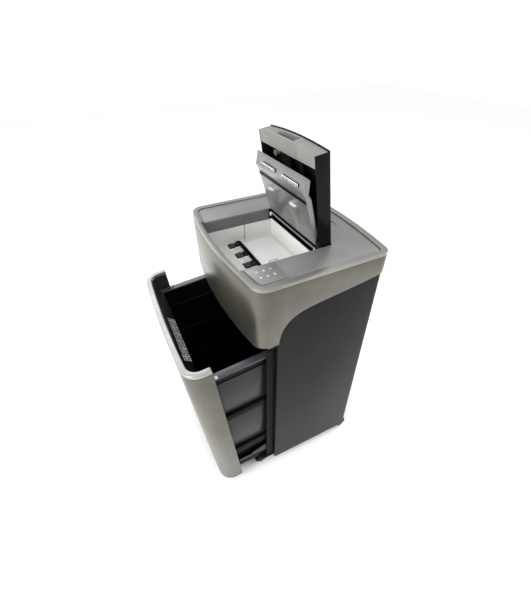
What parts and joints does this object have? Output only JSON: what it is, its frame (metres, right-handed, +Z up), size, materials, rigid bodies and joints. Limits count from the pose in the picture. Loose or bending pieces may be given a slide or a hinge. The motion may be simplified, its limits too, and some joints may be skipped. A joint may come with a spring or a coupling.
{
  "type": "paper shredder",
  "caption": "Free-standing office paper shredder on casters with a lidded automatic feed bay, a swept silver head and a pull-out bin drawer.",
  "frame": {"origin": "centre of the footprint on the floor, with the drawer pulled out and the lid open", "axes": "+Z up, -Y towards the drawer front, X across the cabinet"},
  "size_m": [0.54, 0.6598, 1.1965],
  "materials": {
    "silver_paint": "satin silver paint",
    "bright_silver": "bright silver paint",
    "deck_grey": "satin grey paint",
    "charcoal": "fine textured charcoal paint",
    "black_plastic": "matte",
    "gloss_black": "satin gloss",
    "bay_grey": "matte",
    "pale_grey": "matte",
    "white_plastic": "matte",
    "speckled_grey": "speckled",
    "rail_grey": "satin",
    "motor_steel": "black enamel",
    "steel": "machined",
    "rubber": "matte",
    "board": "lacquered"
  },
  "bodies": {
    "cabinet": {"base_plate": "black_plastic", "side_panel_right": "charcoal", "side_panel_left": "charcoal", "back_panel": "charcoal", "power_inlet": "gloss_black", "drawer_sleeve_left": "black_plastic", "drawer_sleeve_right": "black_plastic", "head_shell": "silver_paint", "top_rim": "silver_paint", "deck": "deck_grey", "control_panel": "pale_grey", "head_frame": "black_plastic", "bay_collar": "bay_grey", "paper_tray": "pale_grey", "slot_frame": "gloss_black", "bay_pad": "white_plastic", "cutter_tray": "steel", "cutter_plate_left": "steel", "cutter_plate_right": "steel", "stripper_comb_front": "black_plastic", "stripper_comb_rear": "black_plastic", "motor": "motor_steel", "circuit_board": "board", "lid_hinge_pin": "steel"},
    "cutter_front": {"cutter_drum_front": "steel", "drum_gear_front": "steel", "drum_gear_left": "steel"},
    "cutter_rear": {"cutter_drum_rear": "steel", "drum_gear_rear": "steel"},
    "reduction": {"reduction_gear": "white_plastic"},
    "motor_shaft": {"motor_pinion": "steel"},
    "feed_roller": {"feed_roller": "rubber", "feed_roller_gear": "white_plastic"},
    "switch": {"power_switch": "gloss_black"},
    "lid": {"lid_shell": "gloss_black", "lid_block_left": "speckled_grey", "lid_block_right": "speckled_grey", "lid_grip": "bright_silver", "lid_liner": "black_plastic", "lid_bumper": "rubber"},
    "plate": {"pressure_plate": "bright_silver", "plate_teeth_left": "white_plastic", "plate_teeth_right": "white_plastic"},
    "slide_mid": {"middle_rail_left": "steel", "middle_rail_right": "steel"},
    "carriage": {"inner_rail_left": "steel", "inner_rail_right": "steel"},
    "drawer": {"drawer_front": "silver_paint", "drawer_liner": "black_plastic", "bin_tub": "black_plastic", "bin_rim": "rail_grey"},
    "caster_front_left_swivel": {"caster_front_left_fork": "black_plastic"},
    "caster_front_left_roller": {"caster_front_left_wheel": "rubber"},
    "caster_front_right_swivel": {"caster_front_right_fork": "black_plastic"},
    "caster_front_right_roller": {"caster_front_right_wheel": "rubber"},
    "caster_rear_left_swivel": {"caster_rear_left_fork": "black_plastic"},
    "caster_rear_left_roller": {"caster_rear_left_wheel": "rubber"},
    "caster_rear_right_swivel": {"caster_rear_right_fork": "black_plastic"},
    "caster_rear_right_roller": {"caster_rear_right_wheel": "rubber"}
  },
  "joints": [
    {"name": "drawer_slide", "type": "slide", "parent": "cabinet", "child": "carriage", "axis": [0, 1, 0], "range_m": [0, 0.147]},
    {"name": "middle_rail_slide", "type": "slide", "parent": "cabinet", "child": "slide_mid", "axis": [0, 1, 0], "range_m": [0, 0.0735]},
    {"name": "drawer_tilt", "type": "hinge", "parent": "carriage", "child": "drawer", "pos_m": [0, -0.17406, 0.105], "axis": [-1, 0, 0], "range_deg": [0, 4.74]},
    {"name": "lid_hinge", "type": "hinge", "parent": "cabinet", "child": "lid", "pos_m": [0, 0.16794, 0.91], "axis": [1, 0, 0], "range_deg": [0, 81.5]},
    {"name": "plate_hinge", "type": "hinge", "parent": "lid", "child": "plate", "pos_m": [0, 0.12994, 0.936], "axis": [-1, 0, 0], "range_deg": [0, 9], "stiffness_Nm_per_rad": 4, "springref_deg": -28.65},
    {"name": "cutter_front_spin", "type": "hinge", "parent": "cabinet", "child": "cutter_front", "pos_m": [0, -0.00926, 0.768], "axis": [1, 0, 0], "continuous": true},
    {"name": "cutter_rear_spin", "type": "hinge", "parent": "cabinet", "child": "cutter_rear", "pos_m": [0, 0.02914, 0.768], "axis": [1, 0, 0], "continuous": true},
    {"name": "reduction_spin", "type": "hinge", "parent": "cabinet", "child": "reduction", "pos_m": [0, 0.06114, 0.768], "axis": [1, 0, 0], "continuous": true},
    {"name": "motor_spin", "type": "hinge", "parent": "cabinet", "child": "motor_shaft", "pos_m": [0, 0.10594, 0.768], "axis": [1, 0, 0], "continuous": true},
    {"name": "feed_roller_spin", "type": "hinge", "parent": "cabinet", "child": "feed_roller", "pos_m": [0, -0.01806, 0.81193], "axis": [1, 0, 0], "continuous": true},
    {"name": "power_rocker", "type": "hinge", "parent": "cabinet", "child": "switch", "pos_m": [0.165, 0.30074, 0.11], "axis": [1, 0, 0], "range_deg": [0, 5]},
    {"name": "caster_front_left_swivel", "type": "hinge", "parent": "cabinet", "child": "caster_front_left_swivel", "pos_m": [-0.228, -0.08506, 0.03], "axis": [0, 0, 1], "continuous": true},
    {"name": "caster_front_left_roll", "type": "hinge", "parent": "caster_front_left_swivel", "child": "caster_front_left_roller", "pos_m": [-0.228, -0.09806, 0.02], "axis": [1, 0, 0], "continuous": true},
    {"name": "caster_front_right_swivel", "type": "hinge", "parent": "cabinet", "child": "caster_front_right_swivel", "pos_m": [0.228, -0.08506, 0.03], "axis": [0, 0, 1], "continuous": true},
    {"name": "caster_front_right_roll", "type": "hinge", "parent": "caster_front_right_swivel", "child": "caster_front_right_roller", "pos_m": [0.228, -0.09806, 0.02], "axis": [1, 0, 0], "continuous": true},
    {"name": "caster_rear_left_swivel", "type": "hinge", "parent": "cabinet", "child": "caster_rear_left_swivel", "pos_m": [-0.242, 0.27594, 0.03], "axis": [0, 0, 1], "continuous": true},
    {"name": "caster_rear_left_roll", "type": "hinge", "parent": "caster_rear_left_swivel", "child": "caster_rear_left_roller", "pos_m": [-0.242, 0.28894, 0.02], "axis": [1, 0, 0], "continuous": true},
    {"name": "caster_rear_right_swivel", "type": "hinge", "parent": "cabinet", "child": "caster_rear_right_swivel", "pos_m": [0.242, 0.27594, 0.03], "axis": [0, 0, 1], "continuous": true},
    {"name": "caster_rear_right_roll", "type": "hinge", "parent": "caster_rear_right_swivel", "child": "caster_rear_right_roller", "pos_m": [0.242, 0.28894, 0.02], "axis": [1, 0, 0], "continuous": true}
  ],
  "couplings": [
    {"joint": "middle_rail_slide", "follows": "drawer_slide", "ratio": 0.5},
    {"joint": "drawer_tilt", "follows": "drawer_slide", "rad_per_m": 0.5619},
    {"joint": "cutter_rear_spin", "follows": "cutter_front_spin", "ratio": -1},
    {"joint": "reduction_spin", "follows": "cutter_front_spin", "ratio": 1.5},
    {"joint": "motor_spin", "follows": "cutter_front_spin", "ratio": -3.75},
    {"joint": "feed_roller_spin", "follows": "cutter_front_spin", "ratio": -0.75}
  ]
}
